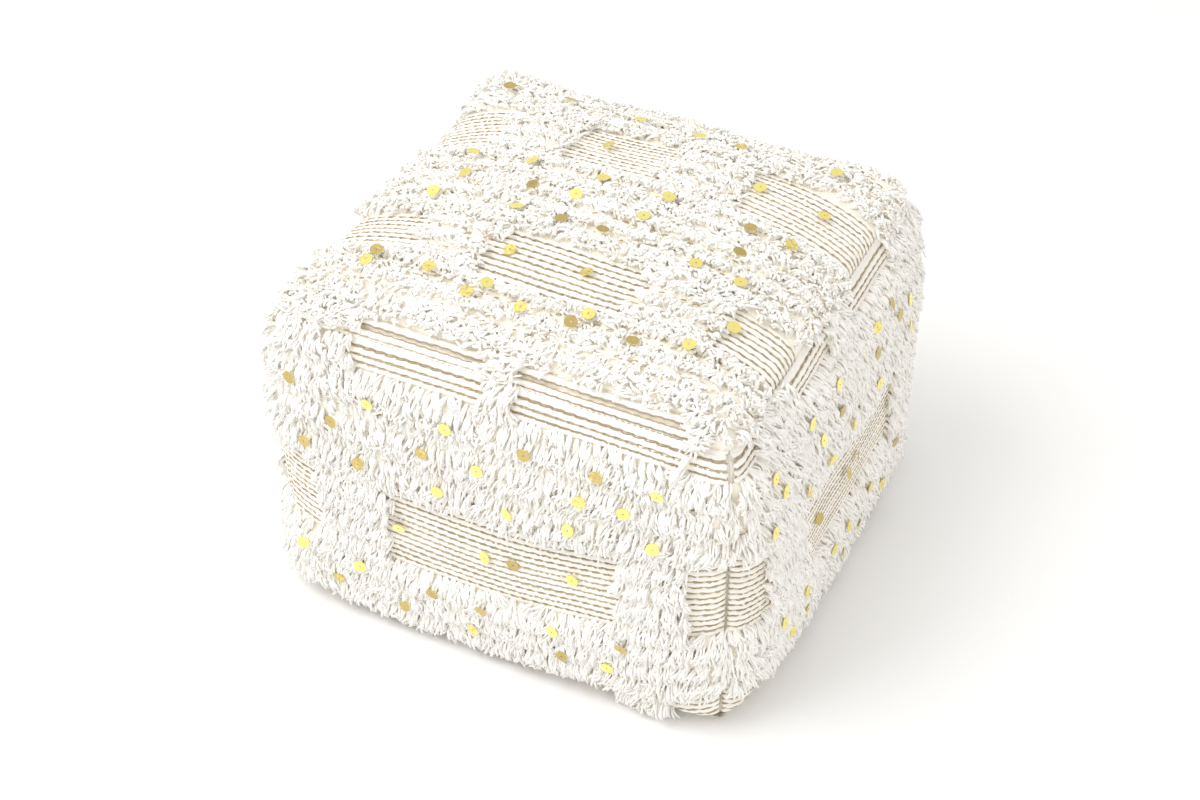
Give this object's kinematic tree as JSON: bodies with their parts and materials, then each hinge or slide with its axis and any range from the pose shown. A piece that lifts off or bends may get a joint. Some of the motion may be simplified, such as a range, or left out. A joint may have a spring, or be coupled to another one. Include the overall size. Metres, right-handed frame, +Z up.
{
  "type": "wedding blanket pouf",
  "caption": "Soft block-shaped floor pouf in cream wool with shaggy pile bands, ribbed woven bands, gold sequins and a zipped canvas base.",
  "frame": {"origin": "middle of the footprint, on the floor", "axes": "+Z up, +X to the right and +Y to the back of the pouf, whose front wall faces -Y; the top's bands run along X"},
  "size_m": [0.5166, 0.4894, 0.3843],
  "materials": {
    "wool_cloth": "flat-woven undyed wool",
    "wool_pile": "cut shag pile, undyed wool",
    "ribbed_wool": "thick twisted weft rows with fine tan and gold threads between",
    "gold_sequin": "bright pale gold, smooth, slightly dished",
    "canvas": "plain-weave cotton canvas",
    "liner_cotton": "thin plain cotton",
    "foam_filling": "shredded foam",
    "zip_tape": "woven polyester tape",
    "zip_teeth": "moulded off-white",
    "zip_metal": "satin, worn at the edges"
  },
  "bodies": {
    "pouf": {"top_panel": "wool_cloth", "top_pile": "wool_pile", "top_woven_bands": "ribbed_wool", "top_sequins": "gold_sequin", "front_panel": "wool_cloth", "front_pile": "wool_pile", "front_woven_bands": "ribbed_wool", "front_sequins": "gold_sequin", "right_panel": "wool_cloth", "right_pile": "wool_pile", "right_woven_bands": "ribbed_wool", "right_sequins": "gold_sequin", "back_panel": "wool_cloth", "back_pile": "wool_pile", "back_woven_bands": "ribbed_wool", "back_sequins": "gold_sequin", "left_panel": "wool_cloth", "left_pile": "wool_pile", "left_woven_bands": "ribbed_wool", "left_sequins": "gold_sequin", "base_left_half": "canvas", "base_right_half": "canvas", "liner_bag": "liner_cotton", "filling": "foam_filling", "zip_tape_left": "zip_tape", "zip_tape_right": "zip_tape", "zip_teeth_left": "zip_teeth", "zip_teeth_right": "zip_teeth", "zip_top_stops": "zip_metal", "zip_bottom_stop": "zip_metal"},
    "zip_slider": {"zip_slider": "zip_metal"},
    "zip_pull": {"zip_pull": "zip_metal"}
  },
  "joints": [
    {"name": "zip_slide", "type": "slide", "parent": "pouf", "child": "zip_slider", "axis": [0, -1, 0], "range_m": [0, 0.3]},
    {"name": "pull_hinge", "type": "hinge", "parent": "zip_slider", "child": "zip_pull", "pos_m": [0, 0.154, 0.0034], "axis": [-1, 0, 0], "range_deg": [0, 180]}
  ]
}
